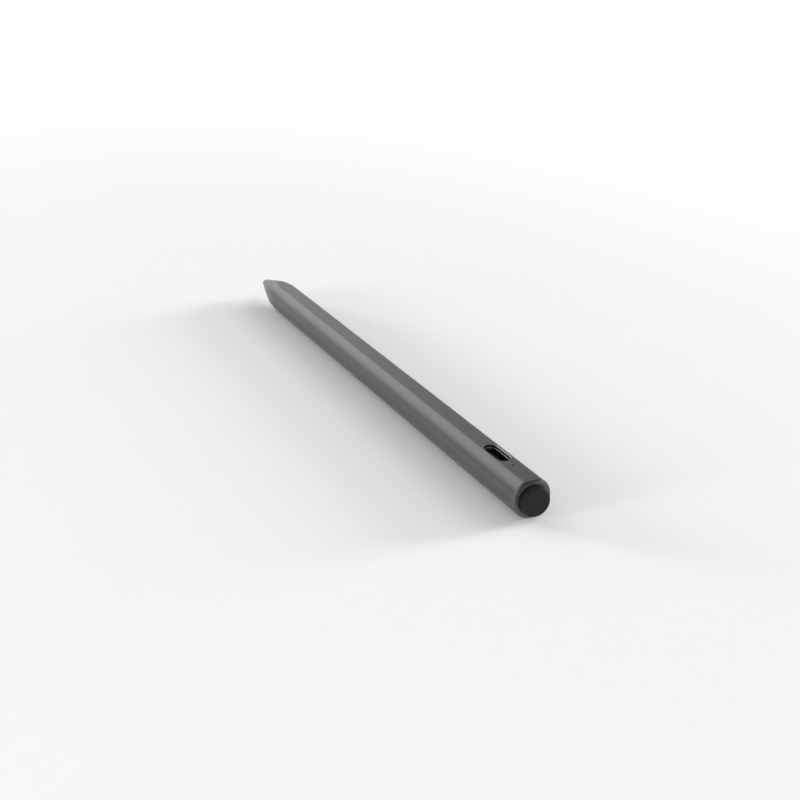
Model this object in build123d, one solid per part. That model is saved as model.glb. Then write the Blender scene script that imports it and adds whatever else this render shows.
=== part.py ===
from build123d import *
import os
from math import asin, atan2, cos, hypot, sin, sqrt, tan

# A rechargeable stylus pen that lies along X, nib to -X, with the flat of its barrel facing +Z.
# Sizes are in millimetres. The pieces are drawn about the pen's axis, with stations counted along it
# from the point of the nib, and are set down on the ground plane at the end.

# The whole pen
overall_length = 166.0
barrel_diameter = 9.0
barrel_wall = 0.6
flat_width = 3.8
rim_chamfer = 0.3

# Fits shared by many pieces: pressed or bonded, and free to slide
press_gap = 0.02
running_gap = 0.1
overrun = 1.0

# Nose and nib
nib_length = 10.4
nose_run = 4.6
ball_radius = 1.15
shoulder_radius = 40.0
seam_gap = 0.1
spigot_length = 2.0

# Friction ring round the nib's spigot
ring_cord = 0.5
ring_setback = 1.0

# Threaded insert and conductive core inside the nib
spigot_wall = 0.55
insert_wall = 0.65
insert_length = 4.6
insert_floor = 0.8
core_radius = 0.45
core_cover = 0.4

# Post that the nib screws on to, and the plug that holds it
post_reach = 3.2
thread_gap = 0.05
post_seat_step = 0.6
post_flange_thickness = 1.0
post_tail_step = 0.2
post_tail_reach = 0.8
plug_setback = 0.4
plug_wall = 0.5
plug_skin = 1.2
plug_length = 9.0

# Carrier trough
carrier_wall = 0.7
carrier_window_width = 2.6
carrier_rib = 4.0
carrier_window_count = 3
bulkhead_thickness = 1.0

# Circuit boards, and the strips of metal and film that land on them
board_thickness = 0.8
board_drop = 1.0
board_setback = 1.0
board_gap = 0.4
main_board_length = 43.0
tail_board_length = 36.2
strip_gap = 0.4
contact_thickness = 0.2
contact_width = 1.6
contact_land = 3.0
contact_bend = 0.3

# Parts on the boards
controller_side = 4.0
controller_height = 0.8
driver_side = 3.0
driver_height = 0.8
inductor_length = 3.0
inductor_width = 2.6
inductor_height = 1.2
charger_side = 2.6
charger_height = 0.7
capacitor_length = 1.0
capacitor_width = 0.5
capacitor_height = 0.5
capacitor_pitch = 1.4
capacitor_count = 4
controller_place_share = 0.2
driver_place_share = 0.45
inductor_place_share = 0.62
capacitor_place_share = 0.85
charger_place_share = 0.5

# Magnets and their holders
magnet_width = 2.8
magnet_thickness = 1.6
magnet_wall = 1.5
front_magnet_count = 2
rear_magnet_count = 1
holder_floor = 0.6
holder_leg = 0.75

# Battery
battery_gap = 0.05
battery_terminal_gap = 0.6
battery_terminal_height = 0.5
battery_edge = 0.3
pad_thickness = 0.8
pad_width = 1.05
tab_thickness = 0.15
tab_width = 2.4
tab_land = 2.2
tab_rise = 1.0
tab_bend = 0.25

# Flexible circuit between the boards
flex_thickness = 0.15
flex_width = 2.6
flex_land = 2.8
flex_bend = 1.0

# Charging socket
port_setback = 15.0
port_length = 8.94
port_width = 3.26
port_wall = 0.3
port_depth_gap = 0.05
slot_length = 8.8
slot_width = 3.1
slot_chamfer = 0.16
tongue_span = 6.7
tongue_thickness = 0.7
tongue_setback = 0.6
tongue_edge = 0.15
port_base_height = 1.3
port_tab_width = 1.2
port_tab_reach = 1.0
port_tab_thickness = 0.25
contact_count = 12
contact_pitch = 0.5
contact_strip_width = 0.28
contact_strip_thickness = 0.05
contact_strip_length = 2.8
contact_tip_setback = 0.4

# Status light
led_setback = 8.2
led_hole_diameter = 0.6
led_length = 0.8
led_width = 1.6
led_height = 0.6
pipe_recess = 0.05

# Tail button
cap_reach = 1.9
cap_edge = 0.9
collar_length = 4.6
collar_wall = 0.25
collar_bevel = 0.15
button_travel = 0.5
lug_setback = 2.5
lug_length = 1.2
lug_height = 2.4
cap_wall = 1.0
stem_head_step = 0.6
stem_head_length = 1.0
stem_head_cover = 1.3
pusher_radius = 0.8
pusher_length = 0.9

# Switch
switch_depth = 1.6
switch_width = 3.6
switch_reach = 0.9
switch_plunger_width = 1.4
switch_plunger_height = 0.9
switch_plunger_inset = 0.5

# Radii and heights about the axis
barrel_radius = barrel_diameter / 2
bore_radius = barrel_radius - barrel_wall
flat_height = sqrt(barrel_radius**2 - (flat_width / 2) ** 2)
roof_height = flat_height - barrel_wall
carrier_outer = bore_radius - running_gap
carrier_inner = carrier_outer - carrier_wall
battery_radius = carrier_inner - battery_gap
pad_hole_radius = battery_radius - pad_width
battery_terminal_radius = pad_hole_radius - battery_terminal_gap
board_top = -board_drop
board_bottom = board_top - board_thickness
board_width = 2 * (sqrt(carrier_outer**2 - board_bottom**2) - running_gap)
holder_top = roof_height - running_gap
magnet_floor = holder_top - magnet_thickness
cap_radius = roof_height - press_gap - collar_wall - running_gap
guide_radius = cap_radius + running_gap
stem_head_radius = cap_radius - cap_wall
stem_radius = stem_head_radius - stem_head_step

# Slope of the nose: a line that touches the ball end and meets the barrel's side
nose_length = nib_length + nose_run
nose_angle = atan2(barrel_radius, nose_length - ball_radius) - asin(
    ball_radius / hypot(nose_length - ball_radius, barrel_radius)
)
shoulder_back = nose_length + shoulder_radius * tan(nose_angle / 2)

# Stations from the nose backwards
barrel_front = nib_length + seam_gap
ring_station = nib_length + ring_setback
nib_back = nib_length + spigot_length
plug_front = nib_back + plug_setback
plug_back = plug_front + plug_length
post_back = plug_back + post_tail_reach
main_board_front = plug_back + board_setback
main_board_back = main_board_front + main_board_length
battery_front = main_board_back + board_gap + bulkhead_thickness + pad_thickness

# Stations from the tail forwards
barrel_back = overall_length - cap_reach
port_station = barrel_back - port_setback
led_station = barrel_back - led_setback
collar_front = barrel_back - collar_length
lug_stop = barrel_back - lug_setback
lug_back = lug_stop - press_gap
lug_front = lug_back - lug_length
pusher_front = lug_front - pusher_length
switch_back = pusher_front - press_gap - switch_reach
switch_front = switch_back - switch_depth
tail_board_back = switch_back
tail_board_front = tail_board_back - tail_board_length
battery_back = tail_board_front - board_gap - bulkhead_thickness - pad_thickness

# Mouth of the barrel, one wall inside the shoulder, and what goes into it
mouth_setback = shoulder_back - barrel_front
mouth_rise = sqrt((shoulder_radius - barrel_wall) ** 2 - mouth_setback**2)
mouth_radius = barrel_radius - shoulder_radius + mouth_rise
spigot_radius = mouth_radius - running_gap
ring_radius = mouth_radius - press_gap - ring_cord / 2
groove_floor = ring_radius - ring_cord / 2 - press_gap
insert_radius = groove_floor - press_gap - spigot_wall
post_radius = insert_radius - insert_wall - thread_gap
post_seat_radius = post_radius + post_seat_step
post_tail_radius = post_radius - post_tail_step
post_flange_radius = mouth_radius - running_gap - press_gap - plug_wall

# Stretches of the boards that the magnet holders cover
main_flex_front = main_board_back - tab_land - strip_gap - flex_land
tail_flex_front = tail_board_front + tab_land + strip_gap
front_holder_span = (main_board_front + contact_land + strip_gap, main_flex_front - strip_gap)
rear_holder_span = (tail_flex_front + flex_land + strip_gap, port_station - port_length / 2 - strip_gap)


def turned(*points):
    """A solid turned about the axis from a closed outline of (station, radius) points."""
    return revolve(make_face(Polyline(*points, close=True)), Axis.X)


def rod(front, back, radius):
    """A plain round rod on the axis between two stations."""
    return turned((front, 0), (front, radius), (back, radius), (back, 0))


def block(stations, sides, heights):
    """A box between two stations, two sides and two heights."""
    size = [high - low for low, high in (stations, sides, heights)]
    return Pos(stations[0], sides[0], heights[0]) * Box(*size, align=(Align.MIN, Align.MIN, Align.MIN))


def wide_block(stations, width, heights):
    """A box centred across the pen."""
    return block(stations, (-width / 2, width / 2), heights)


def prism(section, front, back):
    """A section across the pen, drawn out between two stations."""
    return extrude(Plane.YZ.offset(front) * section, back - front)


def d_section(radius, flat):
    """A round section with its top taken off at the height of the flat."""
    return Circle(radius) - Pos(0, flat + radius) * Rectangle(2 * radius, 2 * radius)


def oval(length, width, low, high):
    """An upright oval block at the charging socket, between two heights."""
    return extrude(Plane.XY.offset(low) * Pos(port_station, 0) * SlotOverall(length, width), high - low)


def bent_strip(points, width, thickness, bend):
    """A strip of sheet that follows a bent line of (station, height) points."""
    path = FilletPolyline(*[(station, 0, height) for station, height in points], radius=bend)
    start = Plane(origin=path @ 0, x_dir=(0, 1, 0), z_dir=path % 0)
    return sweep(start * Rectangle(width, thickness), path=path)


def shoulder_point(share):
    """A point of the arc that blends the nose into the barrel, from 0 at the nose to 1 at the barrel."""
    angle = nose_angle * (1 - share)
    height = barrel_radius - shoulder_radius * (1 - cos(angle))
    return (shoulder_back - shoulder_radius * sin(angle), height)


def ball_point(angle):
    """A point of the ball end, by the slope of the surface there."""
    return (ball_radius * (1 - sin(angle)), ball_radius * cos(angle))


def pen_form(front, back, flat):
    """The pen's outer form, cut off at two stations and at the height of a flat."""
    point = (0, 0)
    ball_end = ball_point(nose_angle)
    ball = ThreePointArc(point, ball_point((nose_angle + asin(1)) / 2), ball_end)
    cone = Line(ball_end, shoulder_point(0))
    shoulder = ThreePointArc(*[shoulder_point(share) for share in (0, 1 / 2, 1)])
    far = overall_length + overrun
    straight = Polyline(shoulder_point(1), (far, barrel_radius), (far, 0), point)
    body = revolve(make_face([ball, cone, shoulder, *straight.edges()]), Axis.X)
    return body & wide_block((front, back), barrel_diameter, (-barrel_radius, flat))


def bore_form():
    """The inside of the barrel: round under the roof of the flat, and narrowing to the mouth."""
    start = barrel_front - overrun
    end = barrel_back + overrun
    bore = turned(
        (start, 0),
        (start, mouth_radius),
        (barrel_front, mouth_radius),
        (shoulder_back, bore_radius),
        (end, bore_radius),
        (end, 0),
    )
    return bore & wide_block((start, end), barrel_diameter, (-barrel_radius, roof_height))


def make_barrel():
    """Drawn tube with a flat, swaged at the nose, with the socket's slot and the light's hole."""
    tube = pen_form(barrel_front, barrel_back, flat_height)
    rim = tube.faces().sort_by(Axis.X)[-1]
    tube = chamfer(rim.edges(), rim_chamfer)
    tube -= bore_form()
    tube -= oval(slot_length, slot_width, roof_height - overrun, flat_height + overrun)
    lead_in = [
        Plane.XY.offset(flat_height + rise) * Pos(port_station, 0)
        * SlotOverall(slot_length + 2 * (rise + slot_chamfer), slot_width + 2 * (rise + slot_chamfer))
        for rise in (-slot_chamfer, slot_chamfer)
    ]
    tube -= loft(lead_in)
    return tube - Pos(led_station, 0, flat_height) * Cylinder(led_hole_diameter / 2, 2 * overrun)


def make_nib():
    """Moulded tip with a ball end, and a spigot with a groove that goes into the barrel's mouth."""
    tip = pen_form(0, nib_length, barrel_radius)
    tip += rod(nib_length - overrun, nib_back, spigot_radius)
    groove_half = ring_cord / 2 + press_gap
    groove = rod(ring_station - groove_half, ring_station + groove_half, barrel_radius)
    tip -= groove - rod(ring_station - overrun, ring_station + overrun, groove_floor)
    tip -= rod(nib_back - insert_length - press_gap, nib_back + overrun, insert_radius + press_gap)
    return tip - rod(core_cover, nib_back, core_radius + press_gap)


def make_nib_insert():
    """Brass sleeve with a blind threaded hole, moulded into the nib."""
    front = nib_back - insert_length
    sleeve = rod(front, nib_back, insert_radius)
    return sleeve - rod(front + insert_floor, nib_back + overrun, post_radius + thread_gap)


def make_nib_core():
    """Conductive pin from the insert to the ball end."""
    return rod(core_cover + press_gap, nib_back - insert_length - press_gap, core_radius)


def make_nib_ring():
    """Square rubber ring that keeps the nib from working loose."""
    front = ring_station - ring_cord / 2
    back = ring_station + ring_cord / 2
    return rod(front, back, ring_radius + ring_cord / 2) - rod(front, back, ring_radius - ring_cord / 2)


def post_form(grow):
    """The post's outline, grown on all sides by a gap."""
    seat = nib_back + press_gap - grow
    flange_front = plug_front + plug_skin - grow
    flange_back = plug_front + plug_skin + post_flange_thickness + grow
    front = nib_back - post_reach - grow
    return turned(
        (front, 0),
        (front, post_radius + grow),
        (seat, post_radius + grow),
        (seat, post_seat_radius + grow),
        (flange_front, post_seat_radius + grow),
        (flange_front, post_flange_radius + grow),
        (flange_back, post_flange_radius + grow),
        (flange_back, post_tail_radius + grow),
        (post_back + grow, post_tail_radius + grow),
        (post_back + grow, 0),
    )


def make_nose_plug():
    """Insulating plug moulded round the post, stepped to fill the nose of the barrel."""
    section = d_section(bore_radius - running_gap, roof_height - running_gap)
    plug = prism(section, shoulder_back, plug_back)
    plug += rod(plug_front, shoulder_back, mouth_radius - running_gap)
    return plug - post_form(press_gap)


def make_tip_contact():
    """Spring leaf soldered to the main board that bears on the end of the post."""
    level = board_top + press_gap + contact_thickness / 2
    face = post_back + press_gap + contact_thickness / 2
    foot = main_board_front + contact_land
    points = [(face, post_tail_radius), (face, level), (foot, level)]
    return bent_strip(points, contact_width, contact_thickness, contact_bend)


def make_carrier():
    """Half-round trough with ledges for the boards and a bay for the battery."""
    front = plug_back + running_gap
    ring = Circle(carrier_outer) - Circle(carrier_inner)
    below = Pos(0, -carrier_outer) * Rectangle(2 * carrier_outer, 2 * carrier_outer)
    trough = prism(ring & below, front, tail_board_back)
    ledge = (board_bottom - press_gap, carrier_outer)
    bay_front = battery_front - pad_thickness - bulkhead_thickness
    bay_back = battery_back + pad_thickness + bulkhead_thickness
    trough -= wide_block((front - overrun, bay_front), barrel_diameter, ledge)
    trough -= wide_block((bay_back, tail_board_back + overrun), barrel_diameter, ledge)
    end_wall = Circle(carrier_outer) & (Pos(0, board_bottom - carrier_outer) * Rectangle(
        2 * carrier_outer, 2 * carrier_outer))
    trough += prism(end_wall, bay_front, bay_front + bulkhead_thickness)
    trough += prism(end_wall, bay_back - bulkhead_thickness, bay_back)
    step = (battery_back - battery_front) / carrier_window_count
    for index in range(carrier_window_count):
        start = battery_front + step * index
        ends = (start + carrier_rib / 2, start + step - carrier_rib / 2)
        trough -= wide_block(ends, carrier_window_width, (-barrel_radius, 0))
    return trough


def make_main_board():
    """Front circuit board, on the ledges of the carrier."""
    return wide_block((main_board_front, main_board_back), board_width, (board_bottom, board_top))


def make_tail_board():
    """Tail circuit board, cut out where the charging socket stands through it."""
    board = wide_block((tail_board_front, tail_board_back), board_width, (board_bottom, board_top))
    half = port_length / 2 + running_gap
    cut = (board_bottom - overrun, board_top + overrun)
    return board - wide_block((port_station - half, port_station + half), port_width + 2 * running_gap, cut)


def on_board(station, length, width, height):
    """A part soldered to the middle of a board's upper face."""
    low = board_top + press_gap
    return wide_block((station - length / 2, station + length / 2), width, (low, low + height))


def along(span, share):
    """A station at a share of the way along a span."""
    return span[0] + (span[1] - span[0]) * share


def make_controller_chip():
    """Controller of the pen."""
    station = along(front_holder_span, controller_place_share)
    return on_board(station, controller_side, controller_side, controller_height)


def make_driver_chip():
    """Driver that sends the pen's signal to the nib."""
    station = along(front_holder_span, driver_place_share)
    return on_board(station, driver_side, driver_side, driver_height)


def make_boost_inductor():
    """Coil of the voltage booster, in a block of ferrite."""
    station = along(front_holder_span, inductor_place_share)
    coil = on_board(station, inductor_length, inductor_width, inductor_height)
    return chamfer(coil.edges().filter_by(Axis.Z), capacitor_width / 2)


def make_board_capacitors():
    """Two rows of small capacitors on the main board."""
    middle = along(front_holder_span, capacitor_place_share)
    rows = []
    for index in range(capacitor_count):
        station = middle + capacitor_pitch * (index - (capacitor_count - 1) / 2)
        for side in (-1, 1):
            place = Pos(0, side * capacitor_pitch / 2)
            rows.append(place * on_board(station, capacitor_width, capacitor_length, capacitor_height))
    return Compound(rows)


def make_charger_chip():
    """Battery charger beside the socket."""
    station = along(rear_holder_span, charger_place_share)
    return on_board(station, charger_side, charger_side, charger_height)


def pockets(span, count):
    """Spans of the magnets along a holder, with a wall at each end and between them."""
    length = (span[1] - span[0] - magnet_wall * (count + 1)) / count
    starts = [span[0] + magnet_wall + index * (length + magnet_wall) for index in range(count)]
    return [(start, start + length) for start in starts]


def make_holder(span, count):
    """Moulded roof over a board, on two legs, with pockets for magnets under the flat."""
    section = d_section(carrier_outer, holder_top)
    low = board_top + press_gap
    below = Pos(0, low - carrier_outer) * Rectangle(2 * carrier_outer, 2 * carrier_outer)
    ceiling = magnet_floor - holder_floor
    room = Pos(0, ceiling - carrier_outer) * Rectangle(board_width - 2 * holder_leg, 2 * carrier_outer)
    holder = prism(section - below - room, *span)
    for start, end in pockets(span, count):
        heights = (magnet_floor - press_gap, roof_height)
        holder -= wide_block((start - press_gap, end + press_gap), magnet_width + 2 * press_gap, heights)
    return holder


def make_magnets(span, count):
    """Bar magnets that hold the pen's flat to a steel or magnetic edge."""
    bars = [wide_block(pocket, magnet_width, (magnet_floor, holder_top)) for pocket in pockets(span, count)]
    return Compound(bars)


def make_battery_cell():
    """Round lithium cell with a raised terminal."""
    terminal_back = battery_back + battery_terminal_height
    return turned(
        (battery_front, 0),
        (battery_front, battery_radius - battery_edge),
        (battery_front + battery_edge, battery_radius),
        (battery_back - battery_edge, battery_radius),
        (battery_back, battery_radius - battery_edge),
        (battery_back, battery_terminal_radius),
        (terminal_back, battery_terminal_radius),
        (terminal_back, 0),
    )


def make_battery_pads():
    """Foam rings between the cell and the end walls of its bay."""
    rings = []
    for front in (battery_front - pad_thickness, battery_back):
        pad = rod(front + press_gap, front + pad_thickness - press_gap, battery_radius)
        rings.append(pad - rod(front, front + pad_thickness, pad_hole_radius))
    return Compound(rings)


def make_battery_tabs():
    """Nickel strips welded to the ends of the cell and soldered to the boards."""
    level = board_top + press_gap + tab_thickness / 2
    half = press_gap + tab_thickness / 2
    rear_face = battery_back + battery_terminal_height + half
    front_face = battery_front - half
    ends = ((rear_face, tail_board_front + tab_land), (front_face, main_board_back - tab_land))
    tabs = []
    for face, foot in ends:
        points = [(face, tab_rise), (face, level), (foot, level)]
        tabs.append(bent_strip(points, tab_width, tab_thickness, tab_bend))
    return Compound(tabs)


def make_link_flex():
    """Flat flexible circuit that crosses over the cell from board to board."""
    low = board_top + press_gap + flex_thickness / 2
    high = (battery_radius + roof_height) / 2
    main_foot = main_flex_front + flex_land
    points = [
        (main_flex_front, low),
        (main_foot, low),
        (battery_front - pad_thickness - strip_gap, high),
        (battery_back + pad_thickness + strip_gap, high),
        (tail_flex_front, low),
        (tail_flex_front + flex_land, low),
    ]
    return bent_strip(points, flex_width, flex_thickness, flex_bend)


port_top = roof_height - port_depth_gap
port_bottom = running_gap - sqrt(carrier_inner**2 - (port_width / 2) ** 2)
tongue_top = port_top - tongue_setback


def make_port_shell():
    """Oval metal shell of the charging socket, with four tabs soldered to the tail board."""
    shell = oval(port_length, port_width, port_bottom, port_top)
    low = board_top + press_gap
    reach = port_width / 2 + port_tab_reach
    for station in (port_station - port_length / 4, port_station + port_length / 4):
        ends = (station - port_tab_width / 2, station + port_tab_width / 2)
        shell += wide_block(ends, 2 * reach, (low, low + port_tab_thickness))
    inside = (port_length - 2 * port_wall, port_width - 2 * port_wall)
    return shell - oval(*inside, port_bottom - overrun, port_top + overrun)


def make_port_tongue():
    """Moulded base that closes the bottom of the socket, and the tongue that carries its contacts."""
    length = port_length - 2 * (port_wall + press_gap)
    width = port_width - 2 * (port_wall + press_gap)
    base = oval(length, width, port_bottom, port_bottom + port_base_height)
    ends = (port_station - tongue_span / 2, port_station + tongue_span / 2)
    tongue = wide_block(ends, tongue_thickness, (port_bottom, tongue_top))
    tongue = chamfer(tongue.faces().sort_by(Axis.Z)[-1].edges(), tongue_edge)
    return base + tongue


def make_port_contacts():
    """Rows of gold contacts on the two faces of the tongue."""
    top = tongue_top - contact_tip_setback
    strips = []
    for index in range(contact_count):
        middle = port_station + contact_pitch * (index - (contact_count - 1) / 2)
        ends = (middle - contact_strip_width / 2, middle + contact_strip_width / 2)
        for near in (tongue_thickness / 2, -tongue_thickness / 2 - contact_strip_thickness):
            sides = (near, near + contact_strip_thickness)
            strips.append(block(ends, sides, (top - contact_strip_length, top)))
    return Compound(strips)


def make_status_led():
    """Light on the tail board."""
    return on_board(led_station, led_length, led_width, led_height)


def make_light_pipe():
    """Clear pin that carries the light up to the flat."""
    low = board_top + led_height + 2 * press_gap
    high = flat_height - pipe_recess
    pin = Cylinder(led_hole_diameter / 2 - press_gap, high - low)
    return Pos(led_station, 0, (low + high) / 2) * pin


def make_tail_collar():
    """Ring pressed into the tail of the barrel, which guides the button and stops its lugs."""
    collar = prism(d_section(bore_radius - press_gap, roof_height - press_gap), collar_front, barrel_back)
    bevel_front = barrel_back - collar_bevel
    collar -= turned(
        (collar_front - overrun, 0),
        (collar_front - overrun, guide_radius),
        (bevel_front, guide_radius),
        (barrel_back + collar_bevel, guide_radius + 2 * collar_bevel),
        (barrel_back + collar_bevel, 0),
    )
    window = lug_height / 2 + running_gap
    return collar - wide_block((collar_front - overrun, lug_stop), barrel_diameter, (-window, window))


def make_button_plunger():
    """Rigid core of the button: a disc with two lugs, a pusher and a headed stem inside the cap."""
    head_back = overall_length - stem_head_cover
    head_front = head_back - stem_head_length
    core = turned(
        (pusher_front, 0),
        (pusher_front, pusher_radius),
        (lug_front, pusher_radius),
        (lug_front, cap_radius),
        (lug_back, cap_radius),
        (lug_back, stem_radius),
        (head_front, stem_radius),
        (head_front, stem_head_radius),
        (head_back, stem_head_radius),
        (head_back, 0),
    )
    lugs = wide_block((lug_front, lug_back), barrel_diameter, (-lug_height / 2, lug_height / 2))
    return core + (lugs & rod(lug_front, lug_back, bore_radius - 2 * running_gap))


def make_tail_cap():
    """Rubber cap stretched over the head of the stem, with a rounded edge."""
    front = lug_back + press_gap
    cap = rod(front, overall_length, cap_radius)
    cap = fillet(cap.edges().filter_by(GeomType.CIRCLE).sort_by(Axis.X)[-1], cap_edge)
    head_back = overall_length - stem_head_cover + press_gap
    head_front = head_back - stem_head_length - 2 * press_gap
    cap -= rod(front - overrun, head_back, stem_radius + press_gap)
    return cap - rod(head_front, head_back, stem_head_radius + press_gap)


def make_switch_body():
    """Side-push switch on the end of the tail board, with its window on the pen's axis."""
    low = board_top + press_gap
    body = wide_block((switch_front, switch_back), switch_width, (low, -low))
    width = switch_plunger_width + 2 * running_gap
    half = switch_plunger_height / 2 + running_gap
    floor = switch_back - switch_plunger_inset - button_travel - running_gap
    return body - wide_block((floor, switch_back + overrun), width, (-half, half))


def make_switch_plunger():
    """Plunger of the switch, which the button pushes."""
    half = switch_plunger_height / 2
    ends = (switch_back - switch_plunger_inset, pusher_front - press_gap)
    return wide_block(ends, switch_plunger_width, (-half, half))


pieces = {
    "barrel": make_barrel(),
    "nib": make_nib(),
    "nib_insert": make_nib_insert(),
    "nib_core": make_nib_core(),
    "nib_ring": make_nib_ring(),
    "nib_post": post_form(0),
    "nose_plug": make_nose_plug(),
    "tip_contact": make_tip_contact(),
    "inner_carrier": make_carrier(),
    "main_board": make_main_board(),
    "controller_chip": make_controller_chip(),
    "driver_chip": make_driver_chip(),
    "boost_inductor": make_boost_inductor(),
    "board_capacitors": make_board_capacitors(),
    "front_holder": make_holder(front_holder_span, front_magnet_count),
    "front_magnets": make_magnets(front_holder_span, front_magnet_count),
    "battery_cell": make_battery_cell(),
    "battery_pads": make_battery_pads(),
    "battery_tabs": make_battery_tabs(),
    "link_flex": make_link_flex(),
    "tail_board": make_tail_board(),
    "charger_chip": make_charger_chip(),
    "rear_holder": make_holder(rear_holder_span, rear_magnet_count),
    "rear_magnet": make_magnets(rear_holder_span, rear_magnet_count),
    "port_shell": make_port_shell(),
    "port_tongue": make_port_tongue(),
    "port_contacts": make_port_contacts(),
    "status_led": make_status_led(),
    "light_pipe": make_light_pipe(),
    "switch_body": make_switch_body(),
    "switch_plunger": make_switch_plunger(),
    "button_plunger": make_button_plunger(),
    "tail_cap": make_tail_cap(),
    "tail_collar": make_tail_collar(),
}

os.makedirs("parts", exist_ok=True)
on_ground = Pos(-overall_length / 2, 0, barrel_radius)
for name, piece in pieces.items():
    export_step(on_ground * piece, f"parts/{name}.step")
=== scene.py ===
from math import asin, cos, pi, radians, sin

import bpy
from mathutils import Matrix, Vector


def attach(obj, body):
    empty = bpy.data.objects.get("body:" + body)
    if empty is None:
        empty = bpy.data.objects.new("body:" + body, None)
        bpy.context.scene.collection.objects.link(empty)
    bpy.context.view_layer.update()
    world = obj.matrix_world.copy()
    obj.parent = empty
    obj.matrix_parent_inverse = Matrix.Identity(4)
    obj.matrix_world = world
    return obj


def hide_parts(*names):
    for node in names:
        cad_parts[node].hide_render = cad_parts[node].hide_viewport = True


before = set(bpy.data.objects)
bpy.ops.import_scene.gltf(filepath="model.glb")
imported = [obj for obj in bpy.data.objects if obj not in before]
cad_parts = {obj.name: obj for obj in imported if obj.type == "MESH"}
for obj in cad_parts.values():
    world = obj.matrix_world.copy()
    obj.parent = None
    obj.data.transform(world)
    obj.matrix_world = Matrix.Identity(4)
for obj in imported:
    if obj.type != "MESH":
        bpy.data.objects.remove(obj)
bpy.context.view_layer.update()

# Carrier trough and magnet holders
# Black moulded plastic that slides into the barrel as one stack. The trough holds the boards and
# the cell, and the two roofs over the boards hold the magnets up under the flat.


class Shade:
    """A socket in a finish's node tree. Arithmetic on it adds Math nodes."""

    def __init__(self, tree, socket=None):
        self.tree = tree
        self.socket = socket

    def feed(self, node, sockets):
        for name, value in sockets.items():
            if isinstance(value, Shade):
                self.tree.links.new(value.socket, node.inputs[name])
            else:
                node.inputs[name].default_value = value

    def add(self, kind, settings={}, sockets={}, out=0):
        node = self.tree.nodes.new(kind)
        for name, value in settings.items():
            setattr(node, name, value)
        self.feed(node, sockets)
        return Shade(self.tree, node.outputs[out])

    def math(self, operation, first, second):
        return self.add("ShaderNodeMath", {"operation": operation}, {0: first, 1: second})

    def __add__(self, other):
        return self.math("ADD", self, other)

    def __radd__(self, other):
        return self.math("ADD", other, self)

    def __sub__(self, other):
        return self.math("SUBTRACT", self, other)

    def __rsub__(self, other):
        return self.math("SUBTRACT", other, self)

    def __mul__(self, other):
        return self.math("MULTIPLY", self, other)

    def __rmul__(self, other):
        return self.math("MULTIPLY", other, self)

    def __truediv__(self, other):
        return self.math("DIVIDE", self, other)

    def __abs__(self):
        return self.math("ABSOLUTE", self, 0.0)

    def __gt__(self, other):
        return self.math("GREATER_THAN", self, other)

    def __lt__(self, other):
        return self.math("LESS_THAN", self, other)


def new_finish(name):
    """Starts a finish: its material, and the node tree to draw it in."""
    material = bpy.data.materials.new(name)
    material.use_nodes = True
    return material, Shade(material.node_tree)


def set_finish(shade, sockets):
    shade.feed(shade.tree.nodes["Principled BSDF"], sockets)


def places(shade, stretch=(1.0, 1.0, 1.0)):
    here = shade.add("ShaderNodeTexCoord", out="Object")
    return shade.add("ShaderNodeMapping", {}, {"Vector": here, "Scale": stretch})


def noise(shade, where, size, detail=3.0):
    sockets = {"Vector": where, "Scale": 1.0 / size, "Detail": detail}
    return shade.add("ShaderNodeTexNoise", {}, sockets)


def blend(shade, share, first, second):
    settings = {"data_type": "RGBA", "clamp_factor": True}
    return shade.add("ShaderNodeMix", settings, {0: share, 6: first, 7: second}, 2)


def grey(level, tint=1.0):
    return (level, level, level * tint, 1.0)


def raised(shade, height, depth):
    sockets = {"Height": height, "Distance": depth, "Strength": 1.0}
    return shade.add("ShaderNodeBump", {}, sockets)


def grained(name, dark, light, grain, rough, depth,
            metallic=0.0, stretch=(1.0, 1.0, 1.0), gloss=0.5):
    """A finish of fine grain over a slow mottle. The grain's size and depth are in metres."""
    material, shade = new_finish(name)
    where = places(shade, stretch)
    fine = noise(shade, where, grain)
    cloud = noise(shade, where, 14.0 * grain, 2.0)
    mixed = fine * 0.55 + cloud * 0.45
    set_finish(shade, {
        "Base Color": blend(shade, (mixed - 0.3) * 2.5, dark, light),
        "Roughness": rough + (cloud - 0.5) * 0.16,
        "Metallic": metallic,
        "Specular IOR Level": gloss,
        "Normal": raised(shade, fine, depth),
    })
    return material


def dress(material, *names):
    """Gives CAD nodes a finish."""
    for name in names:
        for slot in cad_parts[name].material_slots:
            slot.material = material


inner_plastic = grained("moulded_black", grey(0.05, 1.06), grey(0.072, 1.06),
                        grain=0.00012, rough=0.55, depth=0.000006)
dress(inner_plastic, "inner_carrier", "front_holder", "rear_holder")

# Circuit boards
# Glass-filled boards under green solder mask, with copper tracks that show as raised paler lines.
# They lie on the trough's ledges.
track_length = 0.0031
track_spacing = 0.00062
track_width = 0.00011
mask_dark = (0.012, 0.09, 0.045, 1.0)
mask_light = (0.02, 0.125, 0.062, 1.0)
track_green = (0.05, 0.22, 0.11, 1.0)
solder_mask, shade = new_finish("solder_mask")
where = places(shade)
tracks = shade.add("ShaderNodeTexBrick", {"offset": 0.37, "squash": 1.0}, {
    "Vector": where, "Color1": grey(0.0), "Color2": grey(0.0), "Mortar": grey(1.0), "Scale": 1.0,
    "Brick Width": track_length, "Row Height": track_spacing, "Mortar Size": track_width})
weave = noise(shade, where, 0.0002)
line = shade.add("ShaderNodeSeparateColor", {}, {0: tracks})
green = blend(shade, weave, mask_dark, mask_light)
set_finish(shade, {
    "Base Color": blend(shade, line, green, track_green),
    "Roughness": 0.3 + weave * 0.15,
    "Normal": raised(shade, line + weave * 0.15, 0.00002),
})
dress(solder_mask, "main_board", "tail_board")

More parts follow.
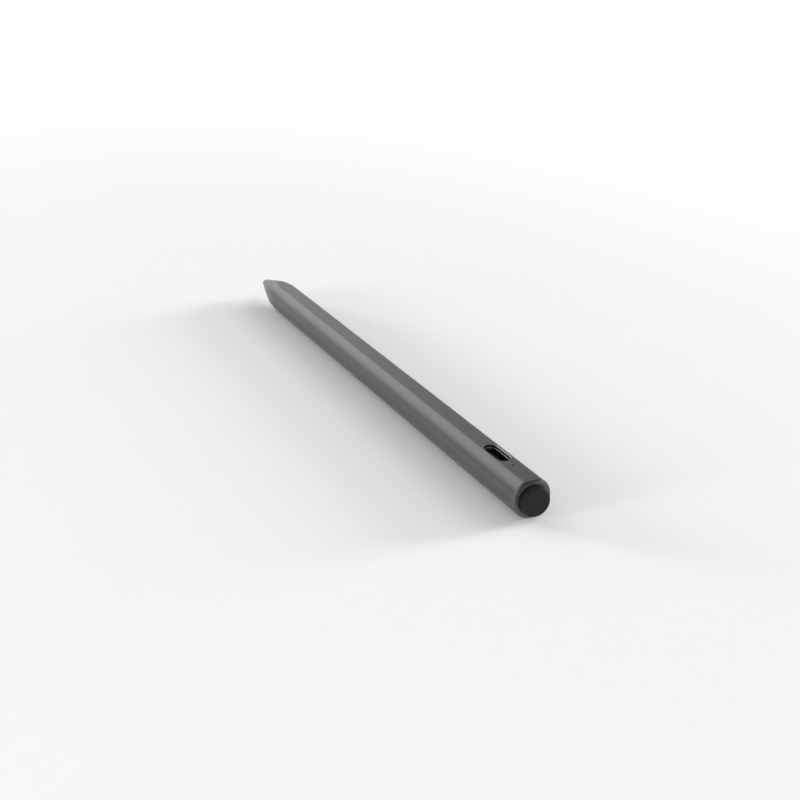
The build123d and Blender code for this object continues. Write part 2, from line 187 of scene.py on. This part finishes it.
# Parts soldered to the boards
# Resin-moulded chips and the switch's body, a pressed ferrite coil, and fired ceramic capacitors
# with tinned ends.
chip_black = grained("moulded_resin", grey(0.022), grey(0.04),
                     grain=0.00006, rough=0.5, depth=0.000004)
dress(chip_black, "controller_chip", "driver_chip", "charger_chip", "switch_body")
coil_grey = grained("pressed_ferrite", (0.075, 0.07, 0.066, 1.0), (0.12, 0.112, 0.1, 1.0),
                    grain=0.00008, rough=0.6, depth=0.00001)
dress(coil_grey, "boost_inductor")
row_offset = 0.0007
bare_half_length = 0.00029
fired_dark = (0.36, 0.25, 0.15, 1.0)
fired_light = (0.5, 0.37, 0.23, 1.0)
fired_ceramic, shade = new_finish("fired_ceramic")
where = places(shade)
across = shade.add("ShaderNodeSeparateXYZ", {}, {0: where}, "Y")
tinned = abs(abs(across) - row_offset) > bare_half_length
speck = noise(shade, where, 0.00005)
fired = blend(shade, speck, fired_dark, fired_light)
set_finish(shade, {
    "Base Color": blend(shade, tinned, fired, grey(0.62)),
    "Metallic": tinned,
    "Roughness": 0.5 - tinned * 0.2 + speck * 0.1,
    "Normal": raised(shade, speck, 0.000004),
})
dress(fired_ceramic, "board_capacitors")

# Magnets
# Bars of sintered magnet, ground flat and nickel plated, glued into the holders' pockets.
nickel = grained("nickel_plate", grey(0.5), grey(0.66), grain=0.00009, rough=0.3, depth=0.000002,
                 metallic=1.0, stretch=(0.1, 1.0, 1.0))
dress(nickel, "front_magnets", "rear_magnet")

# Battery, its tabs and its pads
# A drawn aluminium can with lengthwise drawing marks, nickel strips welded to its ends, and rings
# of black closed-cell foam that take up the play in its bay.
can = grained("drawn_can", grey(0.42), grey(0.58), grain=0.00012, rough=0.36, depth=0.000003,
              metallic=1.0, stretch=(0.03, 1.0, 1.0))
dress(can, "battery_cell")
strip = grained("rolled_strip", grey(0.5), (0.68, 0.66, 0.62, 1.0), grain=0.00008, rough=0.34,
                depth=0.000002, metallic=1.0, stretch=(0.06, 1.0, 1.0))
dress(strip, "battery_tabs", "tip_contact")
foam_cell_size = 0.00022
cell_foam, shade = new_finish("cell_foam")
cells = shade.add("ShaderNodeTexVoronoi", {}, {
    "Vector": places(shade), "Scale": 1.0 / foam_cell_size})
set_finish(shade, {
    "Base Color": blend(shade, cells, grey(0.06), grey(0.02)),
    "Roughness": 0.85 + cells * 0.1,
    "Normal": raised(shade, cells, 0.00008),
})
dress(cell_foam, "battery_pads")

# Flexible circuit over the cell
# Amber film with copper tracks running along it, soldered to a board at each end.
copper_pitch = 0.0002
copper_half_width = 0.0011
film_dark = (0.42, 0.2, 0.045, 1.0)
film_light = (0.56, 0.29, 0.08, 1.0)
copper_tone = (0.62, 0.32, 0.12, 1.0)
amber_film, shade = new_finish("amber_film")
where = places(shade)
across = shade.add("ShaderNodeSeparateXYZ", {}, {0: where}, "Y")
comb = shade.math("PINGPONG", across, copper_pitch) / copper_pitch
copper = (comb > 0.45) * (abs(across) < copper_half_width)
dull = noise(shade, where, 0.0004)
film = blend(shade, dull, film_dark, film_light)
set_finish(shade, {
    "Base Color": blend(shade, copper, film, copper_tone),
    "Roughness": 0.3 + dull * 0.2,
    "Normal": raised(shade, copper, 0.00001),
})
dress(amber_film, "link_flex")

# Nose plug and threaded post
# The plug is black insulating plastic moulded round a turned brass post. The post's front end has
# a 0.4 mm thread that the nib screws on to.
dress(inner_plastic, "nose_plug")
axis_height = 0.0045
tip = -0.083


def begin():
    """Leaves edit mode with nothing selected."""
    if bpy.context.object and bpy.context.object.mode == "EDIT":
        bpy.ops.object.mode_set(mode="OBJECT")
    bpy.ops.object.select_all(action="DESELECT")


def hold(piece):
    """Leaves one piece selected and active."""
    begin()
    piece.select_set(True)
    bpy.context.view_layer.objects.active = piece


def settle():
    """Puts the place, turn and scale of the selected piece into its mesh."""
    bpy.ops.object.transform_apply(location=True, rotation=True, scale=True)


def turned(name, outline, corners=96, loop=False, place=None):
    """A round piece drawn out ring by ring through (distance, radius) points in millimetres: along
    the pen from its tip, or upwards where a place on the pen is given."""
    begin()
    points = [(distance / 1000, radius / 1000) for distance, radius in outline]
    upright = place is not None

    def centre(distance):
        if upright:
            return (tip + place / 1000, 0.0, axis_height + distance)
        return (tip + distance, 0.0, axis_height)

    distance, radius = points[0]
    bpy.ops.mesh.primitive_circle_add(
        vertices=corners, radius=radius, fill_type="NOTHING" if loop else "NGON",
        location=centre(distance),
        rotation=(0.0, 0.0, pi / corners) if upright else (0.0, pi / 2, 0.0))
    piece = bpy.context.object
    piece.name = name
    piece.data.name = name
    settle()
    bpy.ops.object.mode_set(mode="EDIT")
    bpy.ops.mesh.select_mode(type="VERT")
    bpy.ops.mesh.select_all(action="SELECT")
    for ahead, wide in points[1:]:
        step = ahead - distance
        move = (0.0, 0.0, step) if upright else (step, 0.0, 0.0)
        bpy.ops.mesh.extrude_region_move(TRANSFORM_OT_translate={"value": move})
        if wide:
            share = wide / radius
            size = (share, share, 1.0) if upright else (1.0, share, share)
            bpy.ops.transform.resize(value=size, center_override=centre(ahead))
            radius = wide
        else:
            bpy.ops.mesh.merge(type="CENTER")
        distance = ahead
    bpy.ops.mesh.select_all(action="SELECT")
    bpy.ops.mesh.remove_doubles(threshold=1e-7)
    bpy.ops.mesh.normals_make_consistent(inside=False)
    bpy.ops.object.mode_set(mode="OBJECT")
    return piece


def pick(piece, kind, test):
    """Selects, in edit mode, the edges of a piece whose two ends pass a test, or the faces whose
    middle and normal do."""
    hold(piece)
    bpy.ops.object.mode_set(mode="EDIT")
    bpy.ops.mesh.select_mode(type=kind)
    bpy.ops.mesh.select_all(action="DESELECT")
    bpy.ops.object.mode_set(mode="OBJECT")
    if kind == "EDGE":
        for part in piece.data.edges:
            part.select = test(*(piece.data.vertices[i].co for i in part.vertices))
    else:
        for part in piece.data.polygons:
            part.select = test(part.center, part.normal)
    bpy.ops.object.mode_set(mode="EDIT")


def cut(piece, tool, operation="DIFFERENCE"):
    """Takes a tool out of a piece, or adds it, or keeps what they share, and clears it away."""
    hold(piece)
    cutter = piece.modifiers.new("cut", "BOOLEAN")
    cutter.operation = operation
    cutter.solver = "EXACT"
    cutter.object = tool
    bpy.ops.object.modifier_apply(modifier="cut")
    bpy.data.objects.remove(tool)


def join(piece, other):
    """Makes another mesh part of a piece."""
    hold(piece)
    other.select_set(True)
    bpy.ops.object.join()


def smoothed(piece, angle=30.0, even=False):
    """Rounds the shading over all but the sharp edges of a piece, and can keep broad faces flat."""
    hold(piece)
    bpy.ops.object.shade_smooth_by_angle(angle=radians(angle))
    if even:
        normals = piece.modifiers.new("even", "WEIGHTED_NORMAL")
        normals.keep_sharp = True
        bpy.ops.object.modifier_apply(modifier="even")


def fit(piece, material, body, slot, *nodes):
    """Gives a piece its finish and puts it in the place of the nodes that it stands for."""
    if not piece.data.materials:
        piece.data.materials.append(material)
    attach(piece, body)
    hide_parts(*nodes)


brass = grained("turned_brass", (0.6, 0.43, 0.2, 1.0), (0.8, 0.62, 0.33, 1.0), grain=0.00006,
                rough=0.3, depth=0.000002, metallic=1.0, stretch=(1.0, 0.05, 0.05))
thread_pitch = 0.4
thread_turns = 13
thread_steps = 40
thread_front = 9.2
thread_back = 12.3
thread_root = 0.75
thread_rise = 0.24
thread_profile = ((0.04, 0.0), (0.14, 1.0), (0.06, 0.0), (0.14, -1.0), (0.02, 0.0))
winding_front = thread_front - 1.0
lead_length = 0.3
lead_start_radius = 0.7
lead_radius = 1.1
begin()
bpy.ops.mesh.primitive_plane_add(
    size=0.001, location=(tip + winding_front / 1000, 0.0, axis_height))
thread = bpy.context.object
bpy.ops.object.mode_set(mode="EDIT")
bpy.ops.mesh.merge(type="CENTER")
bpy.ops.transform.translate(value=(0.0, 0.0, thread_root / 1000))
for along, up in thread_profile:
    move = (along / 1000, 0.0, up * thread_rise / 1000)
    bpy.ops.mesh.extrude_region_move(TRANSFORM_OT_translate={"value": move})
bpy.ops.object.mode_set(mode="OBJECT")
winding = thread.modifiers.new("winding", "SCREW")
winding.axis = "X"
winding.angle = 2 * pi
winding.screw_offset = thread_pitch / 1000
winding.iterations = thread_turns
winding.steps = thread_steps
winding.render_steps = thread_steps
winding.use_merge_vertices = True
winding.merge_threshold = 1e-6
bpy.ops.object.modifier_apply(modifier="winding")
settle()
for end, way in ((thread_front - thread_pitch, -1.0), (thread_back, 1.0)):
    pick(thread, "FACE", lambda middle, normal: True)
    bpy.ops.mesh.remove_doubles(threshold=2e-6)
    bpy.ops.mesh.select_all(action="SELECT")
    bpy.ops.mesh.bisect(
        plane_co=(tip + end / 1000, 0.0, axis_height), plane_no=(way, 0.0, 0.0),
        use_fill=True, clear_outer=True, threshold=1e-8)
    bpy.ops.mesh.select_all(action="SELECT")
    bpy.ops.mesh.normals_make_consistent(inside=False)
    bpy.ops.object.mode_set(mode="OBJECT")
cut(thread, turned("lead", (
    (thread_front, lead_start_radius), (thread_front + lead_length, lead_radius),
    (thread_back - 0.1, lead_radius))), "INTERSECT")

# The post's neck, seat, flange and tail, from front to back.
nib_post = turned("nib_post_turned", (
    (12.1, 0.74), (12.42, 0.74), (12.42, 1.535), (12.48, 1.595), (14.0, 1.595),
    (14.0, 2.185), (15.0, 2.185), (15.0, 0.795), (22.52, 0.795), (22.6, 0.715)))
join(nib_post, thread)
smoothed(nib_post)
fit(nib_post, brass, "pen_body", "brass", "nib_post")

# Barrel
# A drawn aluminium tube with one flat along its top, swaged to a taper at the nose. It is bead
# blasted and anodised satin grey, and the slot's edge is cut bright afterwards.
barrel_radius = 4.5
bore_radius = 3.9
mouth_radius = 2.805
flat_height = 4.0792
roof_height = 3.4792
fold_offset = 1.86
fold_across, fold_up = 0.2164, 0.9763
shoulder_radius = 40.0
shoulder_back = 19.7238
shoulder_steps = 24
barrel_front = 10.5
barrel_back = 164.1
rim_chamfer = 0.3
tool_overrun = 1.0


def planed(piece, distance, side, height, facing=(0.0, 0.0, 1.0)):
    """Takes off what lies beyond a plane through a point in millimetres, and closes the cut."""
    pick(piece, "FACE", lambda middle, normal: True)
    bpy.ops.mesh.bisect(
        plane_co=(tip + distance / 1000, side / 1000, axis_height + height / 1000),
        plane_no=Vector(facing).normalized(), use_fill=True, clear_outer=True, threshold=1e-8)
    bpy.ops.mesh.select_all(action="SELECT")
    bpy.ops.mesh.remove_doubles(threshold=4e-6)
    bpy.ops.object.mode_set(mode="OBJECT")


outline = []
mouth_angle = asin((shoulder_back - barrel_front) / shoulder_radius)
for index in range(shoulder_steps + 1):
    angle = mouth_angle * (1 - index / shoulder_steps)
    outline.append((shoulder_back - shoulder_radius * sin(angle),
                    barrel_radius - shoulder_radius * (1 - cos(angle))))
outline += [(barrel_back - rim_chamfer, barrel_radius), (barrel_back, barrel_radius - rim_chamfer)]
barrel = turned("barrel_tube", outline, 144)
planed(barrel, barrel_back, 0.0, flat_height)
for side in (-1.0, 1.0):
    planed(barrel, barrel_back, side * fold_offset, flat_height, (0.0, side * fold_across, fold_up))
planed(barrel, barrel_back - rim_chamfer, 0.0, flat_height, (1.0, 0.0, 1.0))
bore = turned("bore", (
    (barrel_front - tool_overrun, mouth_radius), (barrel_front, mouth_radius),
    (shoulder_back, bore_radius), (barrel_back + tool_overrun, bore_radius)), 144)
planed(bore, barrel_back, 0.0, roof_height)
cut(barrel, bore)

# The socket's slot, with a bevelled edge, and the light's hole go through the flat.
port_place = 149.1
slot_length = 8.8
slot_width = 3.1
slot_bevel = 0.16
light_place = 155.9
light_hole_radius = 0.3
light_hole_bevel = 0.04


def stretched(piece, length):
    """Draws an upright round piece at the socket out to an oval, by parting its two halves."""
    middle = tip + port_place / 1000
    for side in (-1.0, 1.0):
        pick(piece, "EDGE", lambda a, b: min(a.x * side, b.x * side) > middle * side)
        bpy.ops.transform.translate(value=(side * length / 2000, 0.0, 0.0))
        bpy.ops.object.mode_set(mode="OBJECT")


half = slot_width / 2
slot = turned("slot", (
    (roof_height - tool_overrun, half), (flat_height - slot_bevel, half),
    (flat_height + slot_bevel, half + 2 * slot_bevel)), 96, place=port_place)
stretched(slot, slot_length - slot_width)
cut(barrel, slot)
cut(barrel, turned("light_hole", (
    (roof_height - tool_overrun, light_hole_radius),
    (flat_height - light_hole_bevel, light_hole_radius),
    (flat_height + light_hole_bevel, light_hole_radius + 2 * light_hole_bevel)),
    48, place=light_place))

barrel_dark, barrel_light = grey(0.15, 1.02), grey(0.176, 1.02)
satin_anodised, shade = new_finish("satin_anodised")
where = places(shade)
blasted = noise(shade, where, 0.00007, 2.0)
mottle = noise(shade, where, 0.0011, 3.0)
touched = noise(shade, where, 0.012, 4.0)
set_finish(shade, {
    "Base Color": blend(shade, blasted * 0.5 + mottle * 0.5, barrel_dark, barrel_light),
    "Metallic": 1.0,
    "Roughness": 0.35 + (touched - 0.5) * 0.1 + (blasted - 0.5) * 0.06,
    "Normal": raised(shade, blasted, 0.0000025),
})
barrel.data.materials.append(satin_anodised)
cut_bright = grained("cut_bright", grey(0.3), grey(0.38), grain=0.00005, rough=0.38,
                     depth=0.0000005, metallic=1.0)
barrel.data.materials.append(cut_bright)
port_x = tip + port_place / 1000
bevel_reach = 5.2
bevel_bottom = flat_height - 0.3
pick(barrel, "FACE", lambda middle, normal: (
    abs(middle.x - port_x) < bevel_reach / 1000
    and middle.z > axis_height + bevel_bottom / 1000 and 0.4 < normal.z < 0.9))
barrel.active_material_index = 1
bpy.ops.object.material_slot_assign()
smoothed(barrel, 20.0, True)
fit(barrel, satin_anodised, "pen_body", "anodised_barrel", "barrel")

# Charging socket
# A drawn steel shell, plated, stands in a cut-out of the tail board just under the slot. In it is
# a black moulded base with a tongue that carries two rows of gold contacts.
port_top = 3.4292
port_bottom = -2.5368
shell_length = 8.94
shell_width = 3.26
shell_radius = shell_width / 2
lip = 0.15
lip_steps = 8
tab_spacing = 2.235
tab_side = 2.075
tab_height = -0.855
tab_size = (1.2, 1.11, 0.25)
tab_corner = 0.15


def block(distance, side, height, size):
    """A box about a point, all in millimetres."""
    begin()
    bpy.ops.mesh.primitive_cube_add(
        size=1.0, scale=[length / 1000 for length in size],
        location=(tip + distance / 1000, side / 1000, axis_height + height / 1000))
    settle()
    return bpy.context.object


def stands(a, b):
    """Tells whether the edge between two points of a block is an upright one."""
    return abs(a.z - b.z) > 0.0001


steel = grained("plated_steel", grey(0.2), grey(0.28), grain=0.00008, rough=0.28, depth=0.000002,
                metallic=1.0, stretch=(1.0, 1.0, 0.08))
rim = []
for index in range(lip_steps + 1):
    angle = pi * index / lip_steps
    rim.append((port_top - lip + lip * sin(angle), shell_radius - lip + lip * cos(angle)))
port_shell = turned("socket_shell", (
    (port_bottom, shell_radius), *rim, (port_bottom, shell_radius - 2 * lip),
    (port_bottom, shell_radius)), 96, True, port_place)
stretched(port_shell, shell_length - shell_width)
for place in (port_place - tab_spacing, port_place + tab_spacing):
    for side in (-1.0, 1.0):
        tab = block(place, side * tab_side, tab_height, tab_size)
        pick(tab, "EDGE", lambda a, b: stands(a, b) and abs(a.y) > tab_side / 1000)
        bpy.ops.mesh.bevel(offset=tab_corner / 1000, segments=3, affect="EDGES")
        join(port_shell, tab)
smoothed(port_shell)
fit(port_shell, steel, "pen_body", "port_steel", "port_shell")

port_plastic = grained("socket_black", grey(0.008), grey(0.014), grain=0.00007, rough=0.6,
                       depth=0.000003, gloss=0.15)
tongue_top = 2.8292
tongue_length = 6.7
tongue_thickness = 0.7
tongue_corner = 0.3
tongue_edge = 0.15
base_length = 8.3
base_width = 2.62
base_height = 1.3
base_edge = 0.1
tongue = block(port_place, 0.0, (tongue_top + port_bottom) / 2, (
    tongue_length, tongue_thickness, tongue_top - port_bottom))
tongue.name = "socket_tongue"
pick(tongue, "EDGE", stands)
bpy.ops.mesh.bevel(offset=tongue_corner / 1000, segments=4, affect="EDGES")
pick(tongue, "EDGE", lambda a, b: min(a.z, b.z) > axis_height + (tongue_top - 0.01) / 1000)
bpy.ops.mesh.bevel(offset=tongue_edge / 1000, segments=3, affect="EDGES")
base = turned("socket_base", (
    (port_bottom, base_width / 2), (port_bottom + base_height - base_edge, base_width / 2),
    (port_bottom + base_height, base_width / 2 - base_edge)), 64, place=port_place)
stretched(base, base_length - base_width)
join(tongue, base)
smoothed(tongue)
fit(tongue, port_plastic, "pen_body", "port_plastic", "port_tongue")
gold = grained("gold_plate", (0.7, 0.5, 0.18, 1.0), (0.86, 0.66, 0.3, 1.0), grain=0.00005,
               rough=0.25, depth=0.000001, metallic=1.0)
dress(gold, "port_contacts")

# Status light
# A white-bodied light on the tail board shines up through a pin of smoked plastic, whose domed end
# lies just under the flat.
light_white = grained("light_resin", (0.78, 0.77, 0.7, 1.0), (0.88, 0.87, 0.82, 1.0),
                      grain=0.00009, rough=0.25, depth=0.000002)
dress(light_white, "status_led")
smoked = grained("smoked_pin", grey(0.006), grey(0.012), grain=0.00006, rough=0.3,
                 depth=0.000001, gloss=0.2)
pin_foot = -0.36
pin_radius = 0.28
dome = ((0.13, pin_radius), (0.09, 0.24), (0.06, 0.13), (0.05, 0.0))
light_pipe = turned("light_pin", (
    (pin_foot, pin_radius), *((flat_height - under, radius) for under, radius in dome)),
    40, place=light_place)
smoothed(light_pipe, 50.0)
fit(light_pipe, smoked, "pen_body", "pipe_plastic", "light_pipe")

# Tail collar
# A ring of anodised aluminium, turned, with a flat to match the barrel's, pressed into the tail.
# Its bore guides the button, and two windows inside it stop the button's lugs.
collar_front = 159.5
collar_radius = 3.88
collar_flat = 3.4592
collar_edge = 0.08
guide_radius = 3.209
guide_back = 163.4
recess_floor = 163.1
recess_radius = 3.34
recess_edge = 0.04
cap_drop = 0.15
window_place = 160.0
window_size = (3.2, 9.0, 2.6)
collar = turned("tail_ring", (
    (collar_front, collar_radius), (barrel_back - collar_edge, collar_radius),
    (barrel_back, collar_radius - collar_edge)), 144)
planed(collar, barrel_back, 0.0, collar_flat)
planed(collar, barrel_back - collar_edge, 0.0, collar_flat, (1.0, 0.0, 1.0))


def lowered(piece):
    """Brings a round piece down from the barrel's axis to the middle of its D section."""
    hold(piece)
    bpy.ops.transform.translate(value=(0.0, 0.0, -cap_drop / 1000))
    settle()
    return piece


cut(collar, turned("guide", (
    (collar_front - tool_overrun, guide_radius), (guide_back, guide_radius)), 144))
cut(collar, lowered(turned("recess", (
    (recess_floor, recess_radius), (barrel_back - recess_edge, recess_radius),
    (barrel_back + tool_overrun, recess_radius + recess_edge + tool_overrun)), 144)))
cut(collar, block(window_place, 0.0, 0.0, window_size))
turned_collar, shade = new_finish("turned_collar")
where = places(shade)
lathe = noise(shade, places(shade, (1.0, 0.06, 0.06)), 0.00006)
fine = noise(shade, where, 0.00008)
set_finish(shade, {
    "Base Color": blend(shade, lathe * 0.6 + fine * 0.4, grey(0.095, 1.02), grey(0.122, 1.02)),
    "Metallic": 0.25,
    "Roughness": 0.5 + (fine - 0.5) * 0.1,
    "Normal": raised(shade, fine, 0.000002),
})
smoothed(collar, 20.0, True)
fit(collar, turned_collar, "pen_body", "collar_metal", "tail_collar")

# Tail button
# A black rubber cap is stretched over the head of a moulded core, whose two lugs keep it in the
# collar. Pressing it moves the plunger of the switch on the tail board.
dress(inner_plastic, "button_plunger")
dress(port_plastic, "switch_plunger")
overall_length = 166.0
cap_front = 163.65
cap_radius = 3.27
cap_edge = 0.4
cap_edge_steps = 12
cap_end_rings = (1.4, 0.6, 0.0)
skirt_front = 161.6
skirt_back = 163.9
skirt_radius = 3.109
skirt_edge = 0.05
core_radius = 1.529
core_head_radius = 2.129
core_head_front = 163.68
core_head_back = 164.72
outline = [(cap_front, cap_radius - skirt_edge), (cap_front + skirt_edge, cap_radius)]
for index in range(cap_edge_steps + 1):
    angle = pi / 2 * index / cap_edge_steps
    outline.append((overall_length - cap_edge + cap_edge * sin(angle),
                    cap_radius - cap_edge + cap_edge * cos(angle)))
outline += [(overall_length, radius) for radius in cap_end_rings]
cap = lowered(turned("button_cap", outline, 128))
skirt = turned("skirt", (
    (skirt_front, skirt_radius - skirt_edge), (skirt_front + skirt_edge, skirt_radius),
    (skirt_back, skirt_radius)), 128)
cut(cap, skirt, "UNION")
cut(cap, turned("core_space", (
    (skirt_front - tool_overrun, core_radius), (core_head_front, core_radius),
    (core_head_front, core_head_radius), (core_head_back, core_head_radius)), 128))
black_rubber, shade = new_finish("black_rubber")
where = places(shade)
skin = noise(shade, where, 0.00009)
bloom = noise(shade, where, 0.0014, 4.0)
set_finish(shade, {
    "Base Color": blend(shade, bloom * 0.6 + skin * 0.4, grey(0.0105), grey(0.015)),
    "Specular IOR Level": 0.21,
    "Roughness": 0.45 + (bloom - 0.5) * 0.14,
    "Normal": raised(shade, skin, 0.000005),
})
smoothed(cap, 30.0, True)
fit(cap, black_rubber, "tail_button", "cap_rubber", "tail_cap")

# Nib
# A moulded tip with a ball end, lacquered to match the barrel, over a brass insert with a blind
# thread and a carbon-filled core. A square rubber ring in a groove of its spigot grips the nose.
dress(brass, "nib_insert")
carbon = grained("carbon_filled", grey(0.02), grey(0.045),
                 grain=0.00004, rough=0.55, depth=0.000003)
dress(carbon, "nib_core")
ball_radius = 1.15
ball_steps = 16
cone_angle = 0.2351
nib_length = 10.4
seam_radius = 3.391
seam_edge = 0.031
spigot_back = 12.4
spigot_radius = 2.705
spigot_edge = 0.1
groove_front, groove_back = 11.13, 11.67
groove_radius = 2.265
insert_front = 7.78
insert_radius = 1.715
core_hole_front = 0.4
core_hole_radius = 0.47

# The outline goes up the core's hole and the insert's, round the spigot and its groove, and then
# down the cone to the ball.
outline = [
    (core_hole_front, core_hole_radius), (insert_front, core_hole_radius),
    (insert_front, insert_radius), (spigot_back, insert_radius),
    (spigot_back, spigot_radius - spigot_edge), (spigot_back - spigot_edge, spigot_radius),
    (groove_back, spigot_radius), (groove_back, groove_radius),
    (groove_front, groove_radius), (groove_front, spigot_radius),
    (nib_length, spigot_radius), (nib_length, seam_radius - seam_edge),
    (nib_length - 0.03, seam_radius)]
for index in range(ball_steps):
    angle = cone_angle + (pi / 2 - cone_angle) * index / ball_steps
    outline.append((ball_radius * (1 - sin(angle)), ball_radius * cos(angle)))
outline.append((0.0, 0.0))
nib = turned("moulded_nib", outline, 144)
nib_lacquer, shade = new_finish("nib_lacquer")
where = places(shade)
peel = noise(shade, where, 0.00011, 2.0)
mottle = noise(shade, where, 0.0011, 3.0)
set_finish(shade, {
    "Base Color": blend(shade, peel * 0.4 + mottle * 0.6, barrel_dark, barrel_light),
    "Metallic": 0.95,
    "Roughness": 0.36 + (mottle - 0.5) * 0.08,
    "Normal": raised(shade, peel, 0.000002),
})
smoothed(nib, 30.0, True)
fit(nib, nib_lacquer, "nib_tip", "nib_plastic", "nib")
ring = turned("friction_ring", (
    (11.15, 2.335), (11.2, 2.285), (11.6, 2.285), (11.65, 2.335), (11.65, 2.72), (11.62, 2.765),
    (11.57, 2.785), (11.23, 2.785), (11.18, 2.765), (11.15, 2.72), (11.15, 2.335)), 96, True)
friction_rubber = grained("friction_rubber", grey(0.016), grey(0.028),
                          grain=0.00006, rough=0.7, depth=0.000004)
smoothed(ring)
fit(ring, friction_rubber, "nib_carriage", "ring_rubber", "nib_ring")

# Floor
# A broad pale sheet for the pen to lie on. It keeps the pen's shadow near it, and fades to plain
# white further off.
floor_size = 8.0
fade_start, fade_end = 0.05, 0.28
begin()
bpy.ops.mesh.primitive_plane_add(size=floor_size, location=(0.0, 0.0, 0.0))
floor = bpy.context.object
floor.name = "floor"


def eased(shade, value, start, end, first, last, kind="SMOOTHSTEP"):
    """Goes from a first level to a last one while a value goes from start to end."""
    return shade.add("ShaderNodeMapRange", {"interpolation_type": kind}, {
        "Value": value, "From Min": start, "From Max": end, "To Min": first, "To Max": last})


pale_sheet, shade = new_finish("pale_sheet")
tooth = noise(shade, places(shade), 0.004)
set_finish(shade, {
    "Base Color": blend(shade, tooth, grey(0.93), grey(0.95)),
    "Roughness": 0.9,
})
where = places(shade, (0.5, 1.0, 1.0))
away = shade.add("ShaderNodeVectorMath", {"operation": "LENGTH"}, {0: where}, "Value")
far = eased(shade, away, fade_start, fade_end, 0.0, 1.0)
seen = shade.add("ShaderNodeLightPath", out="Is Camera Ray")
for kind in ("Is Glossy Ray", "Is Transmission Ray"):
    seen = shade.math("MAXIMUM", seen, shade.add("ShaderNodeLightPath", out=kind))
lit = Shade(shade.tree, shade.tree.nodes["Principled BSDF"].outputs[0])
white = shade.add("ShaderNodeEmission", {}, {"Color": grey(1.0), "Strength": 1.0})
faded = shade.add("ShaderNodeMixShader", {}, {0: far * seen, 1: lit, 2: white})
shade.feed(shade.tree.nodes["Material Output"], {"Surface": faded})
floor.data.materials.append(pale_sheet)

# Light
# Four broad soft lamps, low on both sides, give the pen's two long shadows. The room's own light is
# what the metal shows: brightest behind the pen, less beside and in front of it, dim overhead.


def soft_lamp(name, towards, spread, strength):
    bpy.ops.object.light_add(type="SUN", location=towards)
    lamp = bpy.context.object
    lamp.name = name
    lamp.data.energy = strength
    lamp.data.angle = radians(spread)
    lamp.visible_glossy = False
    lamp.rotation_euler = Vector(towards).to_track_quat("Z", "Y").to_euler()


soft_lamp("right_light", (0.0, 0.81, 0.588), spread=42.0, strength=0.98)
soft_lamp("low_right_light", (0.05, 0.98, 0.19), spread=17.0, strength=2.55)
soft_lamp("left_back_light", (-0.8, -0.57, 0.17), spread=15.0, strength=1.5)
soft_lamp("left_light", (0.0, -0.98, 0.208), spread=15.0, strength=1.25)
world = bpy.data.worlds.new("studio")
world.use_nodes = True
bpy.context.scene.world = world
studio = Shade(world.node_tree)
towards = studio.add("ShaderNodeTexCoord", out="Generated")
back_front, left_right, height = [
    studio.add("ShaderNodeSeparateXYZ", {}, {0: towards}, axis) for axis in "XYZ"]
side = eased(studio, left_right, 0.05, 0.54, 1.66, 0.3, "LINEAR")
edge = eased(studio, left_right, -0.75, -0.35, 0.4, 1.0)
low = eased(studio, height, 0.55, 0.85, 1.0, 0.12)
clear = eased(studio, height, 0.02, 0.3, 0.35, 1.0)
behind = eased(studio, back_front, -0.56, -0.16, 1.0, 0.0)
beside = eased(studio, left_right, 0.6, 0.9, 0.0, 0.6)
facing = eased(studio, back_front, -0.1, 0.4, 0.0, 0.85)
below = eased(studio, height, 0.4, 0.75, 1.0, 0.0)
overhead = eased(studio, height, 0.7, 0.95, 0.06, 0.26)
strength = side * edge * low * clear * behind + beside * low + facing * below + overhead
studio.feed(world.node_tree.nodes["Background"], {"Color": grey(1.0), "Strength": strength})
bpy.context.scene.view_settings.view_transform = "Standard"

# Camera
# It stands where the photograph was taken from: in front of the tail, on the left and above.
eye = Vector((0.2692, -0.1186, 0.1196))
ahead = Vector((-0.83345, 0.39261, -0.3888))
bpy.ops.object.camera_add(location=eye)
camera = bpy.context.object
camera.rotation_euler = ahead.to_track_quat("-Z", "Y").to_euler()
camera.data.lens = 54.45
camera.data.sensor_width = 36.0
camera.data.clip_start = 0.01
bpy.context.scene.camera = camera
